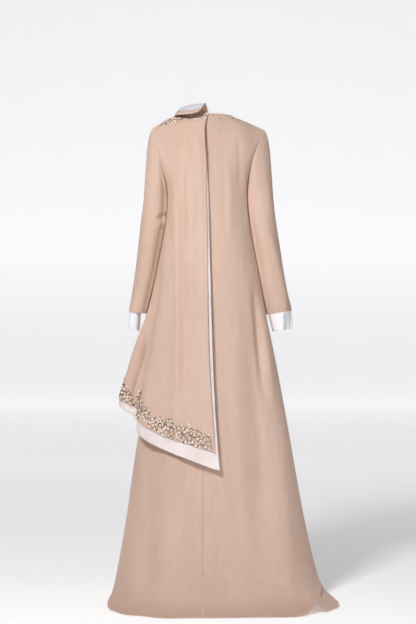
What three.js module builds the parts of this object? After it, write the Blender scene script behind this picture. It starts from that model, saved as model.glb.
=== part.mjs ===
// A long kaftan with a half cape and a sweep train, in the hollow form it has when worn.
// Units are millimetres. +Z is up, the front faces -Y, and +X is the garment's own left.
// Heights in the tables are above the floor. The last group moves the origin to the shoulders.
import * as THREE from "three";

// Driving dimensions
const SEAT_HEIGHT = 1592; // the neck points, where the shoulders carry the garment
const NAPE_HEIGHT = 1598;
const UNDERARM_HEIGHT = 1340;
const FRONT_NECK_DROP = 42; // front neckline below the neck points
const NECK_HALF = 77; // half the neckline's width
const NECK_BACK = 50; // nape behind the shoulder seam
const NECK_FRONT = 70; // front neckline before the shoulder seam
const SLEEVE_TILT = THREE.MathUtils.degToRad(9); // each arm hangs this far off plumb
const CREPE = 1.5; // wall of the blush crepe
const SATIN = 1.2; // wall of the white satin
const SEAM = 0.25; // half the gap that parts two pieces at a seam
const LAYER = 0.45; // gap between cloths that lie on each other
const UNDER_CLEAR = 0.9; // gap between the gown and the cape's under layer
const BAND_CLEAR = 0.6; // gap under the beaded trim
const BEAD_BAND = 2.4; // thickness of the beaded trim
const BEAD_RISE = 1.8; // and how far its clusters stand up
const HEM_BAND_WIDTH = 62;
const BAND_SIDE = 1.2; // the trim stops this far inside the cloth's edges
const BAND_END = 0.8; // and this far above its hem or below its top
const CUFF_LENGTH = 58; // white cuff below the sleeve's hem
const CUFF_HIDDEN = 26; // and inside the sleeve
// The cuffs' section: slim sets the body's side in. At the free edge taper draws both sides in,
// and lean draws them towards the body.
const CUFF_SHAPE = { left: { slim: 7.5, taper: 0, lean: 8 }, right: { slim: 0, taper: 5, lean: 1 } };
const CENTRE_SEAM = 22; // the centre back seam lies this far to the left
const FRONT_SQUARE = 2.3; // squareness of the gown's front half
const SLEEVE_SQUARE = 2.35; // squareness of the sleeves' section

// The gown below the underarm: fall is cloth measured down from the underarm row.
const GOWN = [
  { fall: 0, z: 1340, right: 126, left: 136, back: 100, front: 110, square: 2.4 },
  { fall: 90, z: 1250, right: 130, left: 135, back: 101, front: 120, square: 2.4 },
  { fall: 190, z: 1150, right: 151, left: 146, back: 105, front: 120, square: 2.35 },
  { fall: 310, z: 1030, right: 171, left: 163, back: 118, front: 123, square: 2.3 },
  { fall: 415, z: 925, right: 190, left: 181, back: 133, front: 130, square: 2.3 },
  { fall: 496, z: 844, right: 208, left: 190, back: 145, front: 137, square: 2.3 },
  { fall: 631, z: 710, right: 235, left: 208, back: 163, front: 148, square: 2.3 },
  { fall: 766, z: 576, right: 259, left: 231, back: 182, front: 160, square: 2.3 },
  { fall: 902, z: 442, right: 282, left: 252, back: 203, front: 172, square: 2.3 },
  { fall: 1038, z: 308, right: 306, left: 270, back: 226, front: 185, square: 2.35 },
  { fall: 1175, z: 174, right: 333, left: 291, back: 245, front: 198, square: 2.5 },
  { fall: 1286, z: 67, right: 359, left: 311, back: 272, front: 207, square: 2.8 },
  { fall: 1338, z: 18, right: 376, left: 320, back: 305, front: 211, square: 3.2 },
  { fall: 1366, z: 4, right: 385, left: 324, back: 350, front: 213, square: 3.6 },
  { fall: 1402, z: 2, right: 390, left: 326, back: 434, front: 216, square: 4.1 },
];
const HEM_FALL = GOWN.at(-1).fall;
const GOWN_FALLS = [
  ...[0, 50, 120, 220, 330, 440, 560, 690, 820, 950],
  ...[1070, 1170, 1245, 1300, 1338, 1366, 1386, 1402],
];

// Soft flutes of the skirt: x at the top and at the hem, negative depths are valleys.
const GOWN_FLUTES = [
  { half: "back", top: -136, hem: -176, width: 32, depth: -16, starts: 120, full: 620 },
  { half: "back", top: -196, hem: -262, width: 34, depth: 8, starts: 380, full: 900 },
  { half: "back", top: -70, hem: -92, width: 36, depth: 5, starts: 300, full: 900 },
  { half: "back", top: 30, hem: 40, width: 22, depth: -8, starts: 600, full: 1000 },
  { half: "back", top: 96, hem: 126, width: 34, depth: 7, starts: 500, full: 1000 },
  { half: "back", top: 158, hem: 214, width: 27, depth: -16, starts: 500, full: 950 },
  { half: "front", top: -74, hem: -112, width: 30, depth: -13, starts: 200, full: 900 },
  { half: "front", top: 0, hem: 6, width: 40, depth: 7, starts: 300, full: 900 },
  { half: "front", top: 82, hem: 118, width: 30, depth: -12, starts: 200, full: 900 },
  { half: "front", top: 150, hem: 214, width: 30, depth: 9, starts: 400, full: 1000 },
  { half: "front", top: -146, hem: -216, width: 32, depth: 9, starts: 400, full: 1000 },
];

// Where the back hem is pushed about by the floor, from a place and over a width along x.
const HEM_PUSHES = [
  { x: -328, width: 15, dx: 0, dy: -12, dz: 30 },
  { x: -380, width: 24, dx: -30, dy: 34, dz: 5 },
  { x: 320, width: 14, dx: 4, dy: 55, dz: 9 },
];
const HEM_PUSH_RISE = 130; // how far up the cloth the pushes reach

// The cape that hangs over the left back: side is its half width without the side flute,
// fold and turn are the angles of that flute and of the front edge from the centre back.
const CAPE = [
  { fall: 0, side: 136, back: 100, front: 110, square: 2.4, fold: 62, turn: 90, lift: 0 },
  { fall: 90, side: 141, back: 105, front: 128, square: 2.4, fold: 66, turn: 93, lift: 0 },
  { fall: 190, side: 159, back: 111, front: 130, square: 2.35, fold: 73, turn: 97, lift: 0 },
  { fall: 310, side: 182, back: 126, front: 134, square: 2.35, fold: 80, turn: 102, lift: 0 },
  { fall: 415, side: 203, back: 143, front: 143, square: 2.35, fold: 84, turn: 107, lift: 4 },
  { fall: 496, side: 215, back: 157, front: 151, square: 2.35, fold: 86, turn: 111, lift: 28 },
  { fall: 630, side: 231, back: 177, front: 164, square: 2.35, fold: 87, turn: 117, lift: 53 },
  { fall: 764, side: 247, back: 197, front: 176, square: 2.35, fold: 87, turn: 122, lift: 72 },
  { fall: 920, side: 262, back: 219, front: 188, square: 2.35, fold: 87, turn: 126, lift: 84 },
];
const FOLD_SHARE = 0.72; // the side flute's place across the cape, from free edge to front
// The cape's folds by their share across it. Widths are towards the back and the front.
const CAPE_FLUTES = [
  { at: 0.72, behind: 0.052, before: 0.13, depth: 1, starts: 330, full: 331, useLift: true },
  { at: 0.635, behind: 0.045, before: 0.03, depth: -14, starts: 330, full: 620 },
  { at: 0.54, behind: 0.06, before: 0.045, depth: 8, starts: 420, full: 760 },
  { at: 0.31, behind: 0.07, before: 0.07, depth: -7, starts: 60, full: 640 },
  { at: 0.17, behind: 0.08, before: 0.06, depth: 4, starts: 200, full: 700 },
];
// x of the cape's free back edge, for each cloth: below the underarm, and above it by height
const FREE_EDGE = [
  { fall: 0, blush: 10, white: 4 },
  { fall: 140, blush: 7, white: 1 },
  { fall: 415, blush: 5, white: -6 },
  { fall: 630, blush: -2, white: -13 },
  { fall: 740, blush: -10, white: -19 },
  { fall: 850, blush: -17, white: -27 },
  { fall: 920, blush: -20, white: -33 },
];
const YOKE_EDGE = [
  { z: 1340, blush: 10, white: 4 },
  { z: 1425, blush: 10, white: 7.5 },
  { z: 1470, blush: 12, white: 10.6 },
  { z: 1535, blush: 15, white: 13.6 },
  { z: 1575, blush: 10, white: 8.6 },
  { z: 1598, blush: 4, white: 2.6 },
];
// Heights of the cape's hems at places across it, from the free edge (0) to the front (1)
const CAPE_HEM = [
  { u: 0, blush: 486, white: 431 },
  { u: 0.09, blush: 508, white: 458 },
  { u: 0.17, blush: 521, white: 476 },
  { u: 0.24, blush: 532, white: 489 },
  { u: 0.31, blush: 542, white: 499 },
  { u: 0.41, blush: 557, white: 515 },
  { u: 0.5, blush: 578, white: 537 },
  { u: 0.58, blush: 598, white: 559 },
  { u: 0.63, blush: 612, white: 578 },
  { u: 0.66, blush: 627, white: 596 },
  { u: 0.69, blush: 640, white: 612 },
  { u: 0.72, blush: 647, white: 636 },
  { u: 0.8, blush: 660, white: 638 },
  { u: 1, blush: 691, white: 668 },
];

// The sleeves: centre and half sizes of the section at each height, from the hem up.
const SLEEVE = {
  right: [
    { z: 936, x: 236, y: -8, wide: 42, deep: 30 },
    { z: 1032, x: 215.5, y: -2, wide: 41, deep: 38 },
    { z: 1140, x: 197.5, y: 2, wide: 42, deep: 45 },
    { z: 1250, x: 177.5, y: 4, wide: 44, deep: 49 },
  ],
  left: [
    { z: 936, x: 242.5, y: -14, wide: 30, deep: 40 },
    { z: 1032, x: 221.5, y: -6, wide: 31.5, deep: 46 },
    { z: 1140, x: 204.5, y: 0, wide: 35, deep: 52 },
    { z: 1250, x: 188.5, y: 4, wide: 39, deep: 55 },
  ],
};
const CAP_ROWS = 6;
const ARM_ROWS = 7;
// How the sleeve's cap leaves the armhole at the shoulder tip and under the arm
const CAP_LEAVE = { top: { drop: -0.5, reach: 92 }, low: { drop: -1, reach: 70 }, lowOut: 0.2, swing: 0.25 };
const CAP_ARRIVE = 0.9; // how far its run into the arm reaches, as a share of its length
// The left sleeve is set over the cape, until the cape ends past the underarm.
const OVER_CAPE = { until: 0.52, gone: 0.72 };

// The collar, by degrees round from the centre back: sizes of its free edge
const COLLAR_LAST = 148;
const COLLAR_COLUMN_COUNT = 16;
const STAND_HEIGHT = { back: 27, front: 15 };
const STAND_START = { foot: 2, roll: 8 }; // degrees
const STAND_LEAN = { back: 3, side: 9 };
const COLLAR_EDGE = [
  { angle: 15, out: 111, back: 82, z: 1606 },
  { angle: 27, out: 111, back: 82, z: 1600 },
  { angle: 60, out: 112, back: 84, z: 1600 },
  { angle: 95, out: 112, back: 89, z: 1598 },
  { angle: 125, out: 104, back: 92, z: 1583 },
  { angle: 148, out: 98, back: 92, z: 1568 },
];
const CROWN = { out: 9, rise: 7 }; // how full the collar's roll is
const COLLAR_FOLD = { white: 0.93, facing: 1.12 }; // where each cloth ends, past the roll

// Armhole and shoulder of each side
const SHOULDER = {
  right: { x: 187, z: 1546, bow: 2.0, slope: 1.15, cap: 0.6 },
  left: { x: 189, z: 1550, bow: 1.05, slope: 1.9, cap: 0.82 },
};
const ARMHOLE_SWELL = { back: 50, front: 44 };
const NECK_SHARE = 0.4; // share of a panel's top row that is neckline
const YOKE_ROWS = 9;
const YOKE_SPREAD = THREE.MathUtils.degToRad(87); // draws the yoke's rows closer at the top
const EASE_SPREAD = 0.3; // how far across the neck point's corner is eased in the cloth below it
const EASE_FROM = 0.3; // and how far from the panel's sides that is in full
const EASE_SAMPLES = [-1, -0.75, -0.5, -0.25, 0, 0.25, 0.5, 0.75, 1];
const NAPE_SLOPE = 58; // degrees that the cloth leans in as it reaches the centre of the neckline

const SIDES = { left: 1, right: -1 };
const { clamp, degToRad, lerp, smoothstep } = THREE.MathUtils;
const hump = (v) => Math.exp(-v * v);
const steps = (count, from = 0, to = 1) =>
  Array.from({ length: count + 1 }, (_, i) => lerp(from, to, i / count));
const YOKE_LEVELS = steps(YOKE_ROWS).slice(1);
const COLLAR_COLUMNS = steps(COLLAR_COLUMN_COUNT);

// Small curve and grid helpers

// Reads a column of a table on a smooth curve through its rows, which are placed by key.
function read(table, column, place, key = "fall") {
  const last = table.length - 1;
  let i = 0;
  while (i < last - 1 && place > table[i + 1][key]) i += 1;
  const row = (k) => table[clamp(k, 0, last)];
  const slope = (k) => (row(k + 1)[column] - row(k - 1)[column]) / (row(k + 1)[key] - row(k - 1)[key]);
  const a = row(i);
  const b = row(i + 1);
  const span = b[key] - a[key];
  const t = (place - a[key]) / span;
  return (
    a[column] * (1 + 2 * t) * (1 - t) ** 2 +
    slope(i) * span * t * (1 - t) ** 2 +
    b[column] * t * t * (3 - 2 * t) +
    slope(i + 1) * span * t * t * (t - 1)
  );
}

// x and y shares of a squared-off ellipse at an angle from the centre back.
function ring(angle, square) {
  const share = (v) => Math.sign(v) * Math.abs(v) ** (2 / square);
  return { x: share(Math.sin(angle)), y: share(Math.cos(angle)) };
}

// A sheet of cloth is a grid of points with the outward normal at each.
// Rows run up and columns run across. flip turns the normals to the other face.
function sheet(grid, { loop = false, flip = false } = {}) {
  const rows = grid.length;
  const columns = grid[0].length;
  const across = (j, step) => (loop ? (j + step + columns) % columns : clamp(j + step, 0, columns - 1));
  const normal = grid.map((row, i) =>
    row.map((_, j) => {
      const du = row[across(j, 1)].clone().sub(row[across(j, -1)]);
      const dv = grid[Math.min(i + 1, rows - 1)][j].clone().sub(grid[Math.max(i - 1, 0)][j]);
      return du.cross(dv).normalize().multiplyScalar(flip ? -1 : 1);
    }),
  );
  return { grid, normal, loop, flip };
}

// Where the borders of sheets meet, they get one normal, so that their walls part evenly.
function shareNormals(sheets) {
  const meetings = new Map();
  for (const { grid, normal } of sheets)
    grid.forEach((row, i) =>
      row.forEach((p, j) => {
        const key = p.toArray().map((v) => Math.round(v * 100)).join();
        meetings.set(key, [...(meetings.get(key) ?? []), normal[i][j]]);
      }),
    );
  for (const met of meetings.values()) {
    const sum = met.reduce((a, n) => a.add(n), new THREE.Vector3()).normalize();
    for (const n of met) n.copy(sum);
  }
}

// A sheet's points moved out. out is a distance, or a function of row and column.
function layer({ grid, normal }, out) {
  const distance = typeof out === "function" ? out : () => out;
  return grid.map((row, i) => row.map((p, j) => p.clone().addScaledVector(normal[i][j], distance(i, j))));
}

// Part of a sheet, with each of its cells cut into smaller ones that lie on the same facets.
function refined({ grid, normal, flip }, { rows, columns, rowCuts, columnCuts }) {
  const cut = ([from, to], cuts) => steps((to - from) * cuts, from, to);
  const mix = (points, v, u) => {
    const i = Math.min(Math.floor(v + 1e-9), points.length - 2);
    const j = Math.min(Math.floor(u + 1e-9), points[0].length - 2);
    const corner = v - i > u - j ? points[i + 1][j] : points[i][j + 1];
    const near = Math.max(v - i, u - j);
    const far = Math.min(v - i, u - j);
    const along = points[i + 1][j + 1].clone().sub(corner);
    return points[i][j].clone().lerp(corner, near).addScaledVector(along, far);
  };
  const take = (points) =>
    cut(rows, rowCuts).map((v) => cut(columns, columnCuts).map((u) => mix(points, v, u)));
  return { grid: take(grid), normal: take(normal), flip };
}

// Draws a grid's borders in, so that neighbours stay apart.
function trimmed(grid, { bottom = 0, top = 0, first = 0, last = 0 }) {
  const g = grid.map((row) => row.map((p) => p.clone()));
  const rows = g.length;
  const columns = g[0].length;
  const pull = (p, towards, by) => p.addScaledVector(towards.clone().sub(p).normalize(), by);
  for (let i = 0; i < rows; i += 1) {
    if (first) pull(g[i][0], grid[i][1], first);
    if (last) pull(g[i][columns - 1], grid[i][columns - 2], last);
  }
  for (let j = 0; j < columns; j += 1) {
    if (bottom) pull(g[0][j], grid[1][j], bottom);
    if (top) pull(g[rows - 1][j], grid[rows - 2][j], top);
  }
  return g;
}

// A closed wall of cloth on a sheet, between two distances out from it.
function wall(cloth, inside, outside, trim = {}) {
  const { loop, flip } = cloth;
  const skins = [outside, inside].map((out) => trimmed(layer(cloth, out), trim));
  const rows = cloth.grid.length;
  const columns = cloth.grid[0].length;
  const positions = skins.flat(2).flatMap((p) => p.toArray());
  const at = (skin, i, j) => skin * rows * columns + i * columns + (j % columns);
  const index = [];
  const quad = (a, b, c, d) => index.push(a, b, c, a, c, d);
  const cells = loop ? columns : columns - 1;
  for (let i = 0; i < rows - 1; i += 1)
    for (let j = 0; j < cells; j += 1) {
      quad(at(0, i, j), at(0, i, j + 1), at(0, i + 1, j + 1), at(0, i + 1, j));
      quad(at(1, i, j), at(1, i + 1, j), at(1, i + 1, j + 1), at(1, i, j + 1));
    }
  for (let j = 0; j < cells; j += 1) {
    quad(at(0, 0, j), at(1, 0, j), at(1, 0, j + 1), at(0, 0, j + 1));
    quad(at(0, rows - 1, j), at(0, rows - 1, j + 1), at(1, rows - 1, j + 1), at(1, rows - 1, j));
  }
  if (!loop)
    for (let i = 0; i < rows - 1; i += 1) {
      quad(at(0, i, 0), at(0, i + 1, 0), at(1, i + 1, 0), at(1, i, 0));
      quad(at(0, i, columns - 1), at(1, i, columns - 1), at(1, i + 1, columns - 1), at(0, i + 1, columns - 1));
    }
  if (flip) index.reverse();
  const geometry = new THREE.BufferGeometry();
  geometry.setAttribute("position", new THREE.Float32BufferAttribute(positions, 3));
  geometry.setIndex(index);
  geometry.computeVertexNormals();
  return geometry;
}

// The gown's surface

// How far the skirt's flutes push a point out of its plain section.
function fluteShift(half, x, fall, towardsSide) {
  const fade = smoothstep(towardsSide, 0.1, 0.42);
  return GOWN_FLUTES.filter((f) => f.half === half).reduce((sum, f) => {
    const middle = lerp(f.top, f.hem, clamp(fall / HEM_FALL, 0, 1));
    const grown = smoothstep(fall, f.starts, f.full);
    return sum + f.depth * grown * fade * hump((x - middle) / f.width);
  }, 0);
}

// Below the underarm. q runs from the centre line (0) to the side seam (1).
function skirtPoint(side, half, q, fall) {
  const width = read(GOWN, side, fall);
  const depth = read(GOWN, half, fall) * (half === "back" ? 1 : -1);
  const squareness = half === "back" ? read(GOWN, "square", fall) : FRONT_SQUARE;
  const share = ring((q * Math.PI) / 2, squareness);
  const p = new THREE.Vector3(SIDES[side] * width * share.x, depth * share.y, read(GOWN, "z", fall));
  const out = new THREE.Vector3(p.x / width ** 2, p.y / depth ** 2, 0).normalize();
  p.addScaledVector(out, fluteShift(half, p.x, fall, share.y));
  if (half === "front") return p;
  const pushed = smoothstep(fall, HEM_FALL - HEM_PUSH_RISE, HEM_FALL) * smoothstep(share.y, 0.05, 0.45);
  return HEM_PUSHES.reduce((sum, { x, width, dx, dy, dz }) => {
    const by = pushed * hump((p.x - x) / width);
    return sum.addScaledVector(new THREE.Vector3(dx, dy, dz), by);
  }, p.clone());
}

// The line that ends a panel at the top: neckline, then shoulder seam.
function topLine(side, half, q) {
  const tip = SHOULDER[side];
  const s = SIDES[side];
  if (q <= NECK_SHARE) {
    const angle = ((q / NECK_SHARE) * Math.PI) / 2;
    const x = s * NECK_HALF * Math.sin(angle);
    const level = Math.cos(angle);
    if (half === "back") return new THREE.Vector3(x, NECK_BACK * level, lerp(SEAT_HEIGHT, NAPE_HEIGHT, level));
    return new THREE.Vector3(x, -NECK_FRONT * level, SEAT_HEIGHT - FRONT_NECK_DROP * level ** 1.6);
  }
  const t = (q - NECK_SHARE) / (1 - NECK_SHARE);
  return new THREE.Vector3(s * lerp(NECK_HALF, tip.x, t), 0, lerp(SEAT_HEIGHT, tip.z, t ** tip.slope));
}

// The top line as the cloth below it follows it: its corner at the neck point is eased.
function easedTopLine(side, half, q, spread) {
  const sum = new THREE.Vector3();
  for (const share of EASE_SAMPLES) {
    const at = q + spread * share;
    const p = topLine(side, half, at > 1 ? 2 - at : Math.abs(at));
    if (at < 0) p.x = -p.x;
    if (at > 1) p.subVectors(topLine(side, half, 1).multiplyScalar(2), p);
    sum.add(p);
  }
  return sum.divideScalar(EASE_SAMPLES.length);
}

// How far in front of or behind the top line the cloth is at a share of the yoke's rise.
// At the centre it slopes up to the neckline, and at the sides it rounds over the shoulder.
function yokeDepth(q, rise) {
  const slope = degToRad(NAPE_SLOPE);
  const level = Math.cos(Math.asin(clamp(rise, 0, 1) * Math.sin(slope)));
  const centre = (level - Math.cos(slope)) / (1 - Math.cos(slope));
  const round = lerp(2.9, 2.3, smoothstep(q, NECK_SHARE, 1));
  const side = (1 - clamp(rise, 0, 1) ** round) ** (1 / round);
  return lerp(centre, side, smoothstep(q, 0.02, 0.62));
}

// Above the underarm. w runs from the underarm row (0) to the top line (1).
function yokePoint(side, half, q, w) {
  const from = skirtPoint(side, half, q, 0);
  const spread = EASE_SPREAD * (1 - w) ** 0.5 * smoothstep(q, 0, EASE_FROM) * smoothstep(1 - q, 0, EASE_FROM);
  const to = easedTopLine(side, half, q, spread);
  const rise = w < 1 ? Math.sin(w * YOKE_SPREAD) / Math.sin(YOKE_SPREAD) : 1;
  const swell = ARMHOLE_SWELL[half] * q ** 2.2 * Math.sin(Math.PI * rise) ** lerp(1.8, 0.85, q ** 4) * (w < 1);
  const bow = lerp(1.1, SHOULDER[side].bow, q ** 3);
  return new THREE.Vector3(
    lerp(from.x, to.x, rise ** bow),
    to.y + (from.y - to.y) * yokeDepth(q, rise) + (half === "back" ? swell : -swell),
    lerp(from.z, to.z, rise),
  );
}

// The left back starts at the centre seam, so its first columns are drawn towards the side.
function seamed(side, half, q, fall) {
  if (half === "front" || side === "right" || q > SEAM_EASE) return q;
  const share = (CENTRE_SEAM / read(GOWN, "left", fall)) ** (read(GOWN, "square", fall) / 2);
  return lerp((2 / Math.PI) * Math.asin(share), SEAM_EASE, q / SEAM_EASE);
}

// A panel of the gown as rows from the hem up. columns holds [side, q] pairs.
function gownGrid(half, columns) {
  const row = (fall, point) => columns.map(([side, q]) => point(side, seamed(side, half, q, fall)));
  const skirtRow = (fall) => row(fall, (side, q) => skirtPoint(side, half, q, fall));
  const yokeRow = (w) => row(0, (side, q) => yokePoint(side, half, q, w));
  return [...[...GOWN_FALLS].reverse().map(skirtRow), ...YOKE_LEVELS.map(yokeRow)];
}

// Columns of each panel as shares from the centre line to the side, closer at the folds.
const LEFT_SHARES = [
  ...[0, 0.085, 0.165, 0.235, 0.3, 0.4, 0.475, 0.555],
  ...[0.63, 0.689, 0.733, 0.778, 0.844, 0.922, 1],
];
const RIGHT_SHARES = [
  ...[0, 0.1, 0.2, 0.3, 0.4, 0.45, 0.5, 0.535, 0.57, 0.605],
  ...[0.64, 0.675, 0.71, 0.75, 0.79, 0.84, 0.89, 0.94, 1],
];
const FRONT_SHARES = [0, 0.1, 0.2, 0.3, 0.4, 0.5, 0.57, 0.64, 0.71, 0.79, 0.86, 0.93, 1];
const SEAM_EASE = 0.3;
const pairs = (side, shares) => shares.map((q) => [side, q]);
const GOWN_PANELS = {
  backLeft: sheet(gownGrid("back", pairs("left", LEFT_SHARES)), { flip: true }),
  backRight: sheet(gownGrid("back", [["left", 0], ...pairs("right", RIGHT_SHARES)])),
  front: sheet(
    gownGrid("front", [...pairs("right", FRONT_SHARES).reverse(), ...pairs("left", LEFT_SHARES).slice(1)]),
  ),
};
shareNormals(Object.values(GOWN_PANELS));
// Along the shoulder seams the cloth's normal leans neither back nor forward.
for (const { grid, normal } of Object.values(GOWN_PANELS))
  grid.at(-1).forEach((p, j) => {
    if (Math.abs(p.x) > NECK_HALF - 1) normal.at(-1)[j].setY(0).normalize();
  });

const gownPanel = (name) => wall(GOWN_PANELS[name], -CREPE, 0, { first: SEAM, last: SEAM, top: SEAM });

// The cape over the left back

// How far the cape's folds push a point out of its plain section.
function capeShift(u, fall) {
  return CAPE_FLUTES.reduce((sum, f) => {
    const width = u < f.at ? f.behind : f.before;
    const grown = smoothstep(fall, f.starts, f.full) * (f.useLift ? read(CAPE, "lift", fall) : 1);
    return sum + f.depth * grown * hump((u - f.at) / width);
  }, 0);
}

// A value across the cape, from its free edge past the side flute to its front edge.
function across(u, edge, fold, front) {
  if (u < FOLD_SHARE) return lerp(edge, fold, u / FOLD_SHARE);
  return lerp(fold, front, (u - FOLD_SHARE) / (1 - FOLD_SHARE));
}

// The angle of a cloth's free back edge at a fall.
function edgeAngle(cloth, fall) {
  const edge = read(FREE_EDGE, cloth, fall);
  const share = Math.abs(edge) / read(CAPE, "side", fall);
  return Math.sign(edge) * Math.asin(share ** (read(CAPE, "square", fall) / 2));
}

// Below the underarm. u runs from the blush free edge (0) round the left side (1), and
// WHITE_EDGE is the white cloth's own free edge.
function capePoint(u, fall) {
  const width = read(CAPE, "side", fall);
  const fold = degToRad(read(CAPE, "fold", fall));
  const turn = degToRad(read(CAPE, "turn", fall));
  const angle = u === WHITE_EDGE ? edgeAngle("white", fall) : across(u, edgeAngle("blush", fall), fold, turn);
  const share = ring(angle, read(CAPE, "square", fall));
  const depth = read(CAPE, share.y > 0 ? "back" : "front", fall);
  const p = new THREE.Vector3(width * share.x, depth * share.y, UNDERARM_HEIGHT - fall);
  const out = new THREE.Vector3(p.x / width ** 2, p.y / depth ** 2, 0).normalize();
  return p.addScaledVector(out, capeShift(u, fall));
}

// Above the underarm the cape lies on the gown's left back.
function capeYokePoint(u, w) {
  const start = (2 / Math.PI) * edgeAngle("blush", 0);
  const q = across(Math.max(u, 0), start, CAPE[0].fold / 90, 1);
  const p = yokePoint("left", "back", q, w);
  if (u <= 0) p.x = read(YOKE_EDGE, u === WHITE_EDGE ? "white" : "blush", p.z, "z");
  return p;
}

// How far below the underarm a cloth's hem is at u.
function hemFall(cloth, u) {
  return UNDERARM_HEIGHT - read(CAPE_HEM, cloth, Math.max(u, 0), "u");
}

const WHITE_EDGE = -1;
const CAPE_SHARES = [
  ...[0, 0.09, 0.17, 0.24, 0.31, 0.41, 0.5, 0.58, 0.63],
  ...[0.66, 0.69, 0.72, 0.76, 0.8, 0.86, 0.93, 1],
];
const CAPE_LEVELS = steps(9, 1, 0); // shares of the fall, from above the beaded hem to the underarm
const HEM_ROWS = steps(2, 0, HEM_BAND_WIDTH); // heights above the blush hem

// Rows of the white cloth from its hem up.
function capeGrid() {
  const shares = [WHITE_EDGE, ...CAPE_SHARES];
  const row = (fallAt) => shares.map((u) => capePoint(u, fallAt(u)));
  const hem = (u) => hemFall("blush", u);
  const beaded = HEM_ROWS.map((height) => row((u) => hem(u) - height));
  const plain = CAPE_LEVELS.slice(1).map((share) => row((u) => share * (hem(u) - HEM_BAND_WIDTH)));
  const yoke = YOKE_LEVELS.map((w) => shares.map((u) => capeYokePoint(u, w)));
  return [row((u) => hemFall("white", u)), ...beaded, ...plain, ...yoke];
}

// The blush cloth is the white one without its lowest row and its free edge's column.
const UNDER_CLOTH = sheet(capeGrid(), { flip: true });
const inset = (points) => points.slice(1).map((row) => row.slice(1));
const CAPE_CLOTH = { ...UNDER_CLOTH, grid: inset(UNDER_CLOTH.grid), normal: inset(UNDER_CLOTH.normal) };
const UNDER_OUT = UNDER_CLEAR + SATIN;
const CAPE_OUT = UNDER_OUT + LAYER + CREPE;

// Alternate points of a band stand up as the clusters of beads do.
function beadBand(part, trim) {
  const rows = part.grid.length;
  const columns = part.grid[0].length;
  const base = CAPE_OUT + BAND_CLEAR;
  const raised = (i, j) => i > 0 && i < rows - 1 && j > 0 && j < columns - 1 && (i + j) % 2;
  return wall(part, base, (i, j) => base + BEAD_BAND + (raised(i, j) ? BEAD_RISE : 0), trim);
}

function hemBand() {
  const part = { rows: [0, 2], columns: [0, CAPE_SHARES.length - 1], rowCuts: 3, columnCuts: 3 };
  return beadBand(refined(CAPE_CLOTH, part), { first: BAND_SIDE, last: BAND_SIDE, bottom: BAND_END });
}

function neckBand() {
  const top = CAPE_CLOTH.grid.length - 1;
  const part = { rows: [top - 2, top], columns: [0, CAPE_SHARES.length - 3], rowCuts: 2, columnCuts: 2 };
  return beadBand(refined(CAPE_CLOTH, part), { first: BAND_SIDE, top: BAND_END });
}

// Sleeves and cuffs

const sleeveAxis = (side) =>
  new THREE.Vector3(SIDES[side] * Math.sin(SLEEVE_TILT), 0, -Math.cos(SLEEVE_TILT));

// A point of the sleeve's section at a height. turn is 0 outside, 0.25 behind, 0.5 inside.
// slim draws the inner side out towards the outer one, taper draws both sides in, and lean
// moves the section towards the body.
function sleevePoint(side, turn, z, { slim = 0, taper = 0, lean = 0 } = {}) {
  const value = (column) => read(SLEEVE[side], column, z, "z");
  const share = ring(turn * 2 * Math.PI, SLEEVE_SQUARE);
  const wide = value("wide") - slim;
  const deep = value("deep") * Math.sqrt(wide / value("wide"));
  const out = slim - lean + (wide - taper) * share.y;
  return new THREE.Vector3(
    SIDES[side] * (value("x") + out * Math.cos(SLEEVE_TILT)),
    value("y") + deep * share.x,
    z + out * Math.sin(SLEEVE_TILT),
  );
}

// The armhole's points and normals, from the shoulder tip down the back and up the front.
function armhole(side) {
  const back = side === "left" ? GOWN_PANELS.backLeft : GOWN_PANELS.backRight;
  const edge = (cloth, column) =>
    cloth.grid.slice(GOWN_FALLS.length - 1).map((row, i) => ({
      point: row.at(column),
      normal: cloth.normal[i + GOWN_FALLS.length - 1].at(column),
    }));
  const front = edge(GOWN_PANELS.front, side === "left" ? -1 : 0);
  return [...edge(back, -1).reverse(), ...front.slice(1, -1)];
}

// The sleeve's cap: a smooth run from the armhole to the section below the underarm.
function capPoint(side, start, turn, t) {
  const { top, low, lowOut, swing } = CAP_LEAVE;
  const end = sleevePoint(side, turn, SLEEVE[side].at(-1).z);
  const under = (1 - Math.cos(turn * 2 * Math.PI)) / 2;
  const out = SIDES[side] * lerp(SHOULDER[side].cap, lowOut, under);
  const leave = new THREE.Vector3(out, swing * Math.sin(turn * 2 * Math.PI), lerp(top.drop, low.drop, under));
  leave.normalize().multiplyScalar(lerp(top.reach, low.reach, under));
  const arrive = sleeveAxis(side).multiplyScalar(start.distanceTo(end) * CAP_ARRIVE);
  return new THREE.Vector3()
    .addScaledVector(start, (1 + 2 * t) * (1 - t) ** 2)
    .addScaledVector(leave, t * (1 - t) ** 2)
    .addScaledVector(end, t * t * (3 - 2 * t))
    .addScaledVector(arrive, t * t * (t - 1));
}

const SLEEVE_TURNS = steps(YOKE_ROWS * 2).slice(0, -1);
const tube = (side) => ({ loop: true, flip: side === "right" });

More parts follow.
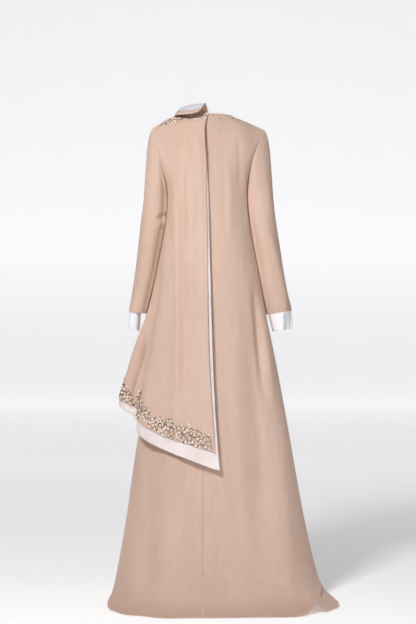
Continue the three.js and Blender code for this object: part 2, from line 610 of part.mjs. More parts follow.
function sleeveSheet(side) {
  const holes = armhole(side);
  const { until, gone } = OVER_CAPE;
  const over = (turn) => (side === "left" ? (CAPE_OUT + LAYER) * (1 - smoothstep(turn, until, gone)) : 0);
  const apart = new THREE.Vector3(SIDES[side] * SEAM * 2, 0, 0);
  const starts = holes.map(({ point, normal }, j) =>
    point.clone().addScaledVector(normal, over(SLEEVE_TURNS[j])).add(apart),
  );
  const arm = steps(ARM_ROWS, SLEEVE[side][0].z, SLEEVE[side].at(-1).z);
  const low = arm.map((z) => SLEEVE_TURNS.map((turn) => sleevePoint(side, turn, z)));
  const cap = steps(CAP_ROWS, 1, 0)
    .slice(1)
    .map((t) => SLEEVE_TURNS.map((turn, j) => capPoint(side, starts[j], turn, t)));
  const cloth = sheet([...low, ...cap], tube(side));
  cloth.normal.at(-1).forEach((n, j) => {
    if (n.dot(holes[j].normal) > 0) n.add(holes[j].normal).normalize();
  });
  return cloth;
}

const sleeve = (side) => wall(sleeveSheet(side), -CREPE, 0, { top: SEAM * 2 });

function cuff(side) {
  const { slim, taper, lean } = CUFF_SHAPE[side];
  const hem = SLEEVE[side][0].z;
  const heights = [...steps(3, hem - CUFF_LENGTH, hem), hem + CUFF_HIDDEN];
  const grid = heights.map((z) => {
    const below = clamp((hem - z) / CUFF_LENGTH, 0, 1);
    const shape = { slim, taper: taper * below, lean: lean * below };
    return SLEEVE_TURNS.map((turn) => sleevePoint(side, turn, z, shape));
  });
  const outside = -(CREPE + LAYER);
  return wall(sheet(grid, tube(side)), outside - SATIN, outside);
}

// The collar on the left of the neck

// A point of the neckline at an angle round from the centre back, on the left.
function neckline(angle) {
  const half = angle < 90 ? "back" : "front";
  return topLine("left", half, (NECK_SHARE * (angle < 90 ? angle : 180 - angle)) / 90);
}

// Points of the stand: t is 0 at the neckline and 1 at the roll.
function standPoint(share, t) {
  const angle = lerp(lerp(STAND_START.foot, STAND_START.roll, t), COLLAR_LAST, share);
  const out = new THREE.Vector3(Math.sin(degToRad(angle)), Math.cos(degToRad(angle)), 0);
  const height = lerp(STAND_HEIGHT.back, STAND_HEIGHT.front, smoothstep(share, 0.15, 1));
  const lean = lerp(STAND_LEAN.back, STAND_LEAN.side, smoothstep(share, 0, 0.5));
  return neckline(angle)
    .addScaledVector(out, lean * t ** 3 - UNDER_CLEAR)
    .add(new THREE.Vector3(0, 0, LAYER + height * t));
}

// Points of the fall: t is 0 at the roll and 1 at its free edge.
function fallPoint(share, t) {
  const roll = standPoint(share, 1);
  const angle = lerp(lerp(STAND_START.roll, COLLAR_EDGE[0].angle, t), COLLAR_LAST, share);
  const size = (column) => read(COLLAR_EDGE, column, angle, "angle");
  const out = new THREE.Vector3(Math.sin(degToRad(angle)), Math.cos(degToRad(angle)), 0);
  const edge = new THREE.Vector3(size("out") * out.x, size("back") * out.y, size("z"));
  const crown = roll.clone().addScaledVector(out, CROWN.out);
  crown.z += CROWN.rise;
  return new THREE.Vector3()
    .addScaledVector(roll, (1 - t) ** 2)
    .addScaledVector(crown, 2 * t * (1 - t))
    .addScaledVector(edge, t * t)
    .addScaledVector(out, SEAM)
    .add(new THREE.Vector3(0, 0, LAYER));
}

const collarGrid = (rows, point) => rows.map((t) => COLLAR_COLUMNS.map((share) => point(share, t)));
const STAND = sheet(collarGrid(steps(3), standPoint), { flip: true });
const FALL = sheet(collarGrid([...steps(5, 0, COLLAR_FOLD.white), COLLAR_FOLD.facing], fallPoint));
const fallWithout = (cut) => ({ ...FALL, grid: FALL.grid.slice(0, cut), normal: FALL.normal.slice(0, cut) });

const collarStand = () => wall(STAND, -CREPE, 0);
const collarFacing = () => wall(FALL, 0, CREPE);
const collarFall = () => wall(fallWithout(-1), CREPE + BAND_CLEAR, CREPE + BAND_CLEAR + SATIN);

// The garment

const cloth = (color, roughness) =>
  new THREE.MeshStandardMaterial({ color, roughness, metalness: 0, side: THREE.DoubleSide });
const blush = cloth(0xd4b5a2, 0.85);
const white = cloth(0xf3eef0, 0.55);
const beads = cloth(0xe2c8b0, 0.4);

const PIECES = [
  ["gown_front", gownPanel("front"), blush],
  ["gown_back_left", gownPanel("backLeft"), blush],
  ["gown_back_right", gownPanel("backRight"), blush],
  ["sleeve_left", sleeve("left"), blush],
  ["sleeve_right", sleeve("right"), blush],
  ["cuff_left", cuff("left"), white],
  ["cuff_right", cuff("right"), white],
  ["cape_underlayer", wall(UNDER_CLOTH, UNDER_CLEAR, UNDER_OUT, { top: SEAM, last: SEAM }), white],
  ["cape", wall(CAPE_CLOTH, UNDER_OUT + LAYER, CAPE_OUT, { top: SEAM, last: SEAM }), blush],
  ["cape_hem_beads", hemBand(), beads],
  ["neck_beads", neckBand(), beads],
  ["collar_stand", collarStand(), beads],
  ["collar_fall", collarFall(), white],
  ["collar_facing", collarFacing(), blush],
];

const garment = new THREE.Group();
for (const [name, geometry, material] of PIECES) {
  const mesh = new THREE.Mesh(geometry, material.clone());
  mesh.name = name;
  garment.add(mesh);
}
garment.position.z = -SEAT_HEIGHT;

const kaftan = new THREE.Group();
kaftan.add(garment);
export default kaftan;
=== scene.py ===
# A long blush kaftan with white cuffs, a half cape and a train, in a pale studio.
import math
import random

import bmesh
import bpy
import numpy as np
from mathutils import Matrix, Vector, bvhtree, kdtree, noise


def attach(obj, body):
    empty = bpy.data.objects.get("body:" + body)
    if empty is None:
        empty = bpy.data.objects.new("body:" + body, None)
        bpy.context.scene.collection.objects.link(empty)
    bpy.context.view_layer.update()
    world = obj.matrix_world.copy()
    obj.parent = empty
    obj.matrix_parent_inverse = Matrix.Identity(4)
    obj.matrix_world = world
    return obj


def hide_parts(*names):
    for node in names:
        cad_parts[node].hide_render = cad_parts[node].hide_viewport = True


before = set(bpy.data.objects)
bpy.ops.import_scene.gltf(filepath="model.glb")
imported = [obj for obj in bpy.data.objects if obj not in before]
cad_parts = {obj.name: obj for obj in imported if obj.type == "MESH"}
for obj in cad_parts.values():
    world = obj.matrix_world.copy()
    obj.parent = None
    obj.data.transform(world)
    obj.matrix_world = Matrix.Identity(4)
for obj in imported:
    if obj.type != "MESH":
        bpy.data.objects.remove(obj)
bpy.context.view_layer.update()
bpy.ops.object.select_all(action="DESELECT")


# Camera

camera = {
    "place": (0.005, 5.0, -0.654),  # level, behind the garment
    "focalPixels": 1492,
    "longSidePixels": 624,
    "sensor": 36,
}


def setCamera():
    lens = bpy.data.cameras.new("backCamera")
    lens.sensor_width = camera["sensor"]
    lens.lens = camera["sensor"] * camera["focalPixels"] / camera["longSidePixels"]
    holder = bpy.data.objects.new("backCamera", lens)
    holder.location = camera["place"]
    holder.rotation_euler = (math.pi / 2, 0, math.pi)
    bpy.context.scene.collection.objects.link(holder)
    bpy.context.scene.camera = holder


# Nodes of the materials


class Value:
    # an output socket; arithmetic on it adds Math nodes
    def __init__(self, finish, socket):
        self.finish = finish
        self.socket = socket

    def __add__(self, other):
        return self.finish.maths("ADD", self, other)

    __radd__ = __add__

    def __mul__(self, other):
        return self.finish.maths("MULTIPLY", self, other)

    __rmul__ = __mul__

    def __sub__(self, other):
        return self.finish.maths("SUBTRACT", self, other)

    def __rsub__(self, other):
        return self.finish.maths("SUBTRACT", other, self)


class Finish:
    # a material whose nodes are added one by one
    def __init__(self, name, **constants):
        self.material = bpy.data.materials.new(name)
        self.material.use_nodes = True
        self.tree = self.material.node_tree
        self.shader = self.tree.nodes["Principled BSDF"]
        for socket, value in constants.items():
            self.shader.inputs[socket.replace("_", " ")].default_value = value

    def add(self, kind, settings, sockets, output=0):
        node = self.tree.nodes.new(kind)
        for key, value in settings.items():
            setattr(node, key, value)
        for key, value in sockets.items():
            if isinstance(value, Value):
                self.tree.links.new(value.socket, node.inputs[key])
            else:
                node.inputs[key].default_value = value
        return Value(self, node.outputs[output])

    def maths(self, operation, *values):
        return self.add("ShaderNodeMath", {"operation": operation}, dict(enumerate(values)))

    def place(self, scale=(1, 1, 1), turn=(0, 0, 0)):
        coords = self.add("ShaderNodeTexCoord", {}, {}, "Object")
        sockets = {"Vector": coords, "Scale": scale, "Rotation": turn}
        return self.add("ShaderNodeMapping", {}, sockets)

    def noise(self, scale, detail=2.0, stretch=(1, 1, 1), turn=(0, 0, 0)):
        sockets = {"Vector": self.place(stretch, turn), "Scale": scale, "Detail": detail}
        return self.add("ShaderNodeTexNoise", {}, sockets, "Fac")

    def between(self, value, low, high, start=0.0, end=1.0):
        window = {"Value": value, "From Min": low, "From Max": high}
        sockets = {**window, "To Min": start, "To Max": end}
        return self.add("ShaderNodeMapRange", {"clamp": True}, sockets, "Result")

    def mixColors(self, share, first, second):
        settings = {"data_type": "RGBA"}
        sides = [side if isinstance(side, Value) else (*side, 1) for side in (first, second)]
        return self.add("ShaderNodeMix", settings, {0: share, 6: sides[0], 7: sides[1]}, 2)

    def bump(self, height, strength, distance):
        sockets = {"Height": height, "Strength": strength, "Distance": distance}
        return self.add("ShaderNodeBump", {}, sockets, "Normal")

    def feed(self, **values):
        for name, value in values.items():
            self.tree.links.new(value.socket, self.shader.inputs[name.replace("_", " ")])
        return self.material


# Studio

studio = {
    "floorHeight": -1.5925,
    "halfWidth": 12.0,
    "depthBehind": 12.0,
    "depthBefore": 12.0,
    "wallHeight": 7.0,
    "sweepRadius": 1.6,
    "paper": (0.93, 0.925, 0.935),
    "paperShade": 0.985,
    "nearGlow": (0.26, 0.26, 0.265),
    "farGlow": (0.525, 0.522, 0.53),
    "glowReach": (0.3, -4.0),  # from near to far
    "worldColor": (0.98, 0.985, 1.0),
    "worldStrength": 0.13,
    "key": {"place": (1.4, 2.8, 1.7), "aim": (0, 0, -0.8), "size": 0.75, "power": 117},
    "top": {"place": (0.5, 1.4, 3.0), "aim": (0, 0, -1.2), "size": 2.2, "power": 8},
    "fill": {"place": (-1.3, 1.5, -1.2), "aim": (0, 0, -0.8), "size": 0.7, "power": 7.5},
}


def addLight(name):
    spec = studio[name]
    aim = Vector(spec["aim"]) - Vector(spec["place"])
    light = bpy.data.lights.new(name + "Light", "AREA")
    light.shape = "SQUARE"
    light.size = spec["size"]
    light.energy = spec["power"]
    holder = bpy.data.objects.new(name + "Light", light)
    holder.location = spec["place"]
    holder.rotation_mode = "QUATERNION"
    holder.rotation_quaternion = aim.to_track_quat("-Z", "Y")
    bpy.context.scene.collection.objects.link(holder)


def setStudio():
    world = bpy.data.worlds.new("paleRoom")
    world.use_nodes = True
    sky = world.node_tree.nodes["Background"]
    sky.inputs["Color"].default_value = (*studio["worldColor"], 1)
    sky.inputs["Strength"].default_value = studio["worldStrength"]
    bpy.context.scene.world = world
    bpy.context.scene.view_settings.view_transform = "Standard"
    for name in ("key", "top", "fill"):
        addLight(name)


def makePaper():
    # paper that glows more, the farther away it is
    finish = Finish("studioPaper", Roughness=0.9, Specular_IOR_Level=0.15, Emission_Strength=1.0)
    tone = finish.between(finish.noise(0.8, 2.0), 0.3, 0.7)
    light = studio["paper"]
    depth = finish.add("ShaderNodeSeparateXYZ", {}, {"Vector": finish.place()}, 1)
    far = finish.between(depth, *studio["glowReach"])
    return finish.feed(
        Base_Color=finish.mixColors(tone, [v * studio["paperShade"] for v in light], light),
        Emission_Color=finish.mixColors(far, studio["nearGlow"], studio["farGlow"]),
    )


def selectEdges(mesh, test):
    for edge in mesh.edges:
        if all(test(v.co) for v in edge.verts):
            edge.select_set(True)


def laySweep(paper):
    # floor and wall in one bent sheet
    half, floor, near = studio["halfWidth"], studio["floorHeight"], 0.01
    back, front = -studio["depthBehind"], studio["depthBefore"]
    bpy.ops.mesh.primitive_plane_add(size=1, location=(0, (back + front) / 2, floor))
    sweep = bpy.context.object
    sweep.name = "studioSweep"
    sweep.scale = (2 * half, front - back, 1)
    bpy.ops.object.transform_apply(location=True, rotation=True, scale=True)
    bpy.ops.object.mode_set(mode="EDIT")
    mesh = bmesh.from_edit_mesh(sweep.data)
    bpy.ops.mesh.select_all(action="DESELECT")
    selectEdges(mesh, lambda co: abs(co.y - back) < near)
    bmesh.update_edit_mesh(sweep.data)
    rise = {"value": (0, 0, studio["wallHeight"])}
    bpy.ops.mesh.extrude_region_move(TRANSFORM_OT_translate=rise)
    mesh = bmesh.from_edit_mesh(sweep.data)
    bpy.ops.mesh.select_all(action="DESELECT")
    selectEdges(mesh, lambda co: abs(co.y - back) < near and abs(co.z - floor) < near)
    bmesh.update_edit_mesh(sweep.data)
    bpy.ops.mesh.bevel(offset=studio["sweepRadius"], segments=16, affect="EDGES")
    bpy.ops.object.mode_set(mode="OBJECT")
    bpy.ops.object.shade_smooth()
    sweep.data.materials.append(paper)
    sweep.select_set(False)


# Finishes of the cloth, thread and beads

blushCrepe = {
    "light": (0.66, 0.475, 0.385),
    "deep": (0.565, 0.39, 0.305),
    "pebbles": 1100,  # in a metre
    "twists": 462,
    "slubs": 90,
    "clouds": 5.5,
    "relief": 0.0006,
    "roughness": (0.74, 0.9),
    "sheen": 0.22,
    "sheenTint": (0.95, 0.8, 0.72, 1),
}
satinWeave = {"threads": 1500, "clouds": 9, "relief": 0.0004, "sheen": 0.1}  # of all the satins
whiteSatin = {
    "light": (0.93, 0.92, 0.955),
    "deep": (0.87, 0.85, 0.885),
    "roughness": (0.38, 0.5),
}
# painted shade: a darker grey copy of the white satin, for the white collar's fall
greyShadeSatin = {
    "light": (0.63, 0.61, 0.655),
    "deep": (0.57, 0.55, 0.59),
    "roughness": (0.4, 0.52),
}
# painted shade: a darker, pinker copy of the white satin, for the cape's white underlayer
pinkShadeWhite = {
    "light": (0.83, 0.745, 0.73),
    "deep": (0.73, 0.63, 0.61),
    "roughness": (0.42, 0.55),
}
silkThread = {"light": (0.7, 0.53, 0.44), "deep": (0.5, 0.35, 0.28), "twists": 2600}
beadSurface = {"mottles": 160, "lustres": 700, "relief": 0.0003, "coat": 0.35}  # of all the beads
pearlFinish = {
    "light": (0.88, 0.76, 0.66),
    "deep": (0.72, 0.56, 0.45),
    "roughness": 0.22,
    "metal": 0.0,
}
petalFinish = {
    "light": (0.72, 0.53, 0.43),
    "deep": (0.55, 0.38, 0.28),
    "roughness": 0.5,
    "metal": 0.0,
}
bronzeFinish = {
    "light": (0.2, 0.115, 0.065),
    "deep": (0.07, 0.035, 0.02),
    "roughness": 0.3,
    "metal": 0.3,
}


def makeCrepe(name, spec):
    finish = Finish(
        name,
        Sheen_Weight=spec["sheen"],
        Sheen_Roughness=0.5,
        Sheen_Tint=spec["sheenTint"],
        Specular_IOR_Level=0.28,
    )
    pebbles = finish.noise(spec["pebbles"], 3.0, stretch=(1, 1, 0.55))
    twist = finish.noise(spec["twists"], 2.0, stretch=(1, 1, 0.35), turn=(0, 0.5, 0))
    slub = finish.noise(spec["slubs"], 3.0, stretch=(1, 1, 0.06))
    cloud = finish.noise(spec["clouds"], 3.0, stretch=(1, 1, 0.5))
    tone = finish.between(cloud * 0.5 + slub * 0.25 + pebbles * 0.25, 0.36, 0.64)
    height = pebbles * 0.6 + twist * 0.3 + slub * 0.1
    return finish.feed(
        Base_Color=finish.mixColors(tone, spec["deep"], spec["light"]),
        Roughness=finish.between(pebbles, 0.3, 0.7, *spec["roughness"]),
        Normal=finish.bump(height, 0.35, spec["relief"]),
    )


def makeSatin(name, spec):
    weave = satinWeave
    finish = Finish(
        name, Sheen_Weight=weave["sheen"], Sheen_Roughness=0.4, Specular_IOR_Level=0.4
    )
    warp = finish.noise(weave["threads"], 2.0, stretch=(1, 1, 0.08), turn=(0, 0.35, 0))
    weft = finish.noise(weave["threads"], 2.0, stretch=(0.1, 0.1, 1))
    cloud = finish.noise(weave["clouds"], 3.0)
    tone = finish.between(cloud * 0.7 + warp * 0.3, 0.38, 0.6)
    return finish.feed(
        Base_Color=finish.mixColors(tone, spec["deep"], spec["light"]),
        Roughness=finish.between(cloud, 0.35, 0.65, *spec["roughness"]),
        Normal=finish.bump(warp * 0.6 + weft * 0.4, 0.2, weave["relief"]),
    )


def makeThread(name, spec):
    finish = Finish(name, Sheen_Weight=0.2, Specular_IOR_Level=0.4)
    twist = finish.noise(spec["twists"], 1.0)
    tone = finish.between(twist, 0.35, 0.65)
    return finish.feed(
        Base_Color=finish.mixColors(tone, spec["deep"], spec["light"]),
        Roughness=finish.between(twist, 0.3, 0.7, 0.45, 0.6),
    )


def makeBeadFinish(name, spec):
    coat = {"Coat_Weight": beadSurface["coat"], "Coat_Roughness": 0.15}
    finish = Finish(name, Metallic=spec["metal"], **coat)
    mottle = finish.noise(beadSurface["mottles"], 2.0)
    lustre = finish.noise(beadSurface["lustres"], 2.0)
    tone = finish.between(mottle, 0.38, 0.62)
    glossy, dull = spec["roughness"] * 0.8, spec["roughness"] * 1.3
    return finish.feed(
        Base_Color=finish.mixColors(tone, spec["deep"], spec["light"]),
        Roughness=finish.between(lustre, 0.3, 0.7, glossy, dull),
        Normal=finish.bump(lustre, 0.15, beadSurface["relief"]),
    )


# Cloth

cloth = {
    "mergeWithin": 0.00002,
    "rimEdge": 0.0019,  # the walls' rims have edges this short
    "crepeThickness": 0.0012,
    "satinThickness": 0.0007,
    "seamDip": 0.0005,  # a stitched edge lies this much lower
    "ripple": 0.0007,
    "rippleSize": (0.055, 0.055, 0.3),
    "creaseFade": (0.25, 0.25),  # shares of a crease that fade in and out
    "facesViewer": (0.05, 0.45),  # a crease grows as its cloth turns to its view
    "facesBack": (-0.5, 0.3),  # and a turned edge as its cloth turns to the back
    "pressedPower": 1.15,  # a pressed crease comes to an edge
    "smoothAngle": 50,  # degrees
}


def outerSkin(node, name):
    # a copy of the outer side of a CAD wall, as quads
    mesh = bmesh.new()
    mesh.from_mesh(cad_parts[node].data)
    bmesh.ops.remove_doubles(mesh, verts=mesh.verts, dist=cloth["mergeWithin"])
    rims = [f for f in mesh.faces if min(e.calc_length() for e in f.edges) < cloth["rimEdge"]]
    bmesh.ops.delete(mesh, geom=rims, context="FACES")
    left, sides = set(mesh.faces), []
    while left:
        side, reached = [], [left.pop()]
        while reached:
            face = reached.pop()
            side.append(face)
            near = {other for edge in face.edges for other in edge.link_faces} & left
            left -= near
            reached.extend(near)
        sides.append(side)
    sides.sort(key=lambda side: sum(f.calc_area() for f in side))
    spare = [f for side in sides[:-1] for f in side]
    bmesh.ops.delete(mesh, geom=spare, context="FACES")
    bmesh.ops.join_triangles(
        mesh, faces=mesh.faces[:], angle_face_threshold=math.pi, angle_shape_threshold=math.pi
    )
    odd = sum(len(f.verts) != 4 for f in mesh.faces)
    print(name, "skin of", len(mesh.faces), "faces,", odd, "not quads,", len(sides), "sides")
    data = bpy.data.meshes.new(name)
    mesh.to_mesh(data)
    mesh.free()
    piece = bpy.data.objects.new(name, data)
    bpy.context.scene.collection.objects.link(piece)
    return piece


def applyModifier(piece, kind, **settings):
    modifier = piece.modifiers.new(kind, kind)
    for key, value in settings.items():
        setattr(modifier, key, value)
    with bpy.context.temp_override(object=piece, active_object=piece, selected_objects=[piece]):
        bpy.ops.object.modifier_apply(modifier=modifier.name)


def smoothSkin(piece, levels):
    settings = {"levels": levels, "render_levels": levels, "boundary_smooth": "PRESERVE_CORNERS"}
    applyModifier(piece, "SUBSURF", **settings)


def readPoints(piece):
    count = len(piece.data.vertices)
    points, normals = np.zeros(count * 3), np.zeros(count * 3)
    piece.data.vertices.foreach_get("co", points)
    piece.data.vertices.foreach_get("normal", normals)
    return points.reshape(-1, 3), normals.reshape(-1, 3)


def writePoints(piece, points):
    piece.data.vertices.foreach_set("co", points.ravel())
    piece.data.update()


def ramp(values, low, high):
    share = np.clip((values - low) / (high - low), 0, 1)
    return share * share * (3 - 2 * share)


# which coordinates a crease's path is drawn in, and which way its cloth faces
views = {
    "back": {"across": 0, "facing": 1, "sign": 1},
    "front": {"across": 0, "facing": 1, "sign": -1},
    "left": {"across": 1, "facing": 0, "sign": 1},
}


def creaseLift(points, normals, crease):
    # how far a crease moves each point out; its path is (across, height) pairs
    view = views[crease["seen"]]
    flat = points[:, (view["across"], 2)]
    path = np.array(crease["path"])
    steps = path[1:] - path[:-1]
    lengths = np.linalg.norm(steps, axis=1)
    starts = np.concatenate([[0], np.cumsum(lengths)])
    nearest = np.full(len(points), np.inf)
    along = np.zeros(len(points))
    for start, step, length, run in zip(path, steps, lengths, starts):
        share = np.clip(((flat - start) @ step) / length**2, 0, 1)
        away = np.linalg.norm(flat - start - share[:, None] * step, axis=1)
        closer = away < nearest
        nearest[closer] = away[closer]
        along[closer] = (run + share * length)[closer] / starts[-1]
    head, tail = crease.get("fade", cloth["creaseFade"])
    strength = ramp(along, 0, head) if head else 1.0
    strength = strength * (ramp(1 - along, 0, tail) if tail else 1.0)
    facing = ramp(normals[:, view["facing"]] * view["sign"], *cloth["facesViewer"])
    if "fall" in crease:
        # beyond a turned crease the cloth falls away from the viewer
        beyond = np.interp(flat[:, 1], path[::-1, 1], path[::-1, 0]) - flat[:, 0]
        return -crease["fall"] * strength * ramp(beyond, 0, crease["over"])
    power = cloth["pressedPower"] if crease.get("pressed") else 2
    section = np.exp(-((nearest / crease["width"]) ** power))
    return crease["depth"] * strength * facing * section


def rippleLift(points):
    wide, deep, long = cloth["rippleSize"]
    waves = [noise.noise((x / wide, y / deep, z / long)) for x, y, z in points]
    return np.array(waves) * cloth["ripple"]


def drape(piece, creases):
    # ripples and creases move the skin, and its edges dip into their seams
    points, normals = readPoints(piece)
    lift = rippleLift(points)
    for crease in creases:
        if "fall" in crease:
            back = ramp(normals[:, 1], *cloth["facesBack"])
            points[:, 1] += creaseLift(points, normals, crease) * back
        else:
            lift += creaseLift(points, normals, crease)
    edges = bmesh.new()
    edges.from_mesh(piece.data)
    rim = np.array([v.is_boundary for v in edges.verts])
    edges.free()
    lift -= rim * cloth["seamDip"]
    writePoints(piece, points + normals * lift[:, None])


def finishCloth(piece, node, material, thickness):
    applyModifier(piece, "SOLIDIFY", thickness=thickness, offset=-1, use_even_offset=False)
    piece.data.materials.clear()
    piece.data.materials.append(material)
    bpy.ops.object.select_all(action="DESELECT")
    piece.select_set(True)
    bpy.context.view_layer.objects.active = piece
    bpy.ops.object.shade_smooth_by_angle(angle=math.radians(cloth["smoothAngle"]))
    piece.select_set(False)
    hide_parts(node)
    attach(piece, "root")


# Creases, in metres from the neck. Those with a depth are ridges, or troughs where it is below
# zero. Those with a fall are turned edges, past which the cloth falls away from the viewer.

gownCreases = [
    {"seen": "back", "width": 0.013, "depth": 0.0034,
     "path": [(-0.058, -0.09), (-0.067, -0.26), (-0.07, -0.45)]},
    {"seen": "back", "width": 0.012, "depth": -0.0034,
     "path": [(-0.094, -0.05), (-0.101, -0.16), (-0.1, -0.27)]},
    {"seen": "back", "width": 0.01, "depth": 0.0032,
     "path": [(-0.112, -0.17), (-0.118, -0.26), (-0.13, -0.4)]},
    {"seen": "back", "width": 0.018, "depth": 0.004,
     "path": [(-0.13, -0.45), (-0.15, -0.8), (-0.2, -1.2)]},
    {"seen": "back", "width": 0.02, "depth": -0.0034,
     "path": [(-0.05, -0.75), (-0.07, -1.1), (-0.1, -1.5)]},
    {"seen": "front", "width": 0.016, "depth": -0.0032,
     "path": [(-0.07, -0.2), (-0.082, -0.45), (-0.09, -0.8)]},
    {"seen": "front", "width": 0.015, "depth": 0.0032,
     "path": [(0.06, -0.16), (0.075, -0.4), (0.08, -0.7)]},
    {"seen": "front", "width": 0.009, "depth": 0.0022,
     "path": [(0.1, -0.2), (0.085, -0.26), (0.05, -0.3)]},
    {"seen": "front", "width": 0.009, "depth": 0.0022,
     "path": [(-0.105, -0.19), (-0.085, -0.25), (-0.055, -0.28)]},
    {"seen": "back", "width": 0.014, "depth": -0.016, "fade": (0.4, 0.5),
     "path": [(-0.138, -0.52), (-0.158, -0.68), (-0.168, -0.8), (-0.176, -1.0)]},
    {"seen": "back", "width": 0.014, "depth": 0.005,
     "path": [(-0.166, -0.6), (-0.188, -0.75), (-0.21, -1.0)]},
    {"seen": "back", "fall": 0.03, "over": 0.006, "fade": (0.4, 0.1),
     "path": [(-0.36, -1.5), (-0.37, -1.55), (-0.354, -1.573)]},
]

# the left back follows the cape that lies on it
capeCreases = [
    {"seen": "back", "width": 0.009, "depth": -0.009, "fade": (0.3, 0.3), "pressed": True,
     "path": [(0.162, -0.45), (0.196, -0.58), (0.224, -0.674), (0.24, -0.765)]},
    {"seen": "back", "width": 0.012, "depth": -0.009, "fade": (0.25, 0.1),
     "path": [(0.094, -0.08), (0.088, -0.25), (0.084, -0.5), (0.082, -0.95)]},
    {"seen": "back", "width": 0.012, "depth": 0.007, "fade": (0.25, 0.1),
     "path": [(0.118, -0.1), (0.113, -0.25), (0.107, -0.5), (0.105, -0.95)]},
    {"seen": "back", "width": 0.014, "depth": 0.0028,
     "path": [(0.066, -0.12), (0.066, -0.4), (0.07, -0.8)]},
    {"seen": "back", "width": 0.012, "depth": -0.002,
     "path": [(0.035, -0.35), (0.037, -0.6), (0.04, -0.95)]},
    {"seen": "back", "width": 0.012, "depth": -0.014, "fade": (0.4, 0), "pressed": True,
     "path": [(0.16, -0.45), (0.18, -0.6), (0.213, -0.781), (0.2395, -0.875), (0.252, -0.92),
              (0.252, -0.96)]},
]
# the cape's free edges and hem lift off the cloth under them
blushEdge = [
    (0.004, 0.006), (0.01, -0.017), (0.015, -0.057), (0.012, -0.122), (0.01, -0.167),
    (0.01, -0.252), (0.007, -0.392), (0.005, -0.667), (-0.002, -0.882), (-0.01, -0.992),
    (-0.017, -1.102),
]
whiteEdge = [
    (0.0026, 0.006), (0.0086, -0.017), (0.0136, -0.057), (0.0106, -0.122), (0.0075, -0.167),
    (0.004, -0.252), (0.001, -0.392), (-0.006, -0.667), (-0.013, -0.882), (-0.019, -0.992),
    (-0.027, -1.102), (-0.033, -1.161),
]
blushHem = [(0.303, -0.9), (0.236, -0.975), (0.216, -1.019), (0.105, -1.083), (-0.02, -1.123)]
whiteHem = [(0.303, -0.935), (0.236, -1.033), (0.216, -1.076), (0.105, -1.133), (-0.032, -1.183)]
hemFlare = {"seen": "back", "width": 0.055, "depth": 0.011, "fade": (0.15, 0), "path": whiteHem}
edgeLifts = {
    "halfCape": [
        hemFlare,
        {"seen": "back", "width": 0.013, "depth": 0.0095, "fade": (0.06, 0), "path": blushEdge},
        {"seen": "back", "width": 0.014, "depth": 0.006, "fade": (0.25, 0.5),
         "path": blushEdge[1:6]},
        {"seen": "back", "width": 0.02, "depth": 0.003, "fade": (0.15, 0), "path": blushHem},
    ],
    "capeUnderlayer": [
        hemFlare,
        {"seen": "back", "width": 0.013, "depth": 0.0065, "fade": (0.06, 0), "path": whiteEdge},
    ],
}

sleeveCreases = {
    "left": [
        {"seen": "back", "width": 0.008, "depth": -0.004,
         "path": [(0.15, -0.325), (0.163, -0.342), (0.178, -0.345)]},
        {"seen": "back", "width": 0.008, "depth": 0.003,
         "path": [(0.15, -0.345), (0.166, -0.366), (0.18, -0.37)]},
        {"seen": "left", "width": 0.014, "depth": 0.0025,
         "path": [(0.0, -0.28), (-0.012, -0.42), (-0.016, -0.64)]},
    ],
    "right": [
        {"seen": "back", "fall": 0.009, "over": 0.03, "fade": (0.3, 0),
         "path": [(-0.17, -0.3), (-0.189, -0.379), (-0.222, -0.47), (-0.2565, -0.6),
                  (-0.2565, -0.72)]},
        {"seen": "back", "fall": 0.02, "over": 0.01, "fade": (0.35, 0),
         "path": [(-0.24, -0.46), (-0.2565, -0.55), (-0.2565, -0.645), (-0.2465, -0.66),
                  (-0.2465, -0.72)]},
        {"seen": "back", "width": 0.01, "depth": -0.0034,
         "path": [(-0.15, -0.3), (-0.168, -0.33), (-0.185, -0.33)]},
    ],
}


# Pieces: how often the skin is subdivided, its creases, and its flat size in metres and square
# metres, as cut

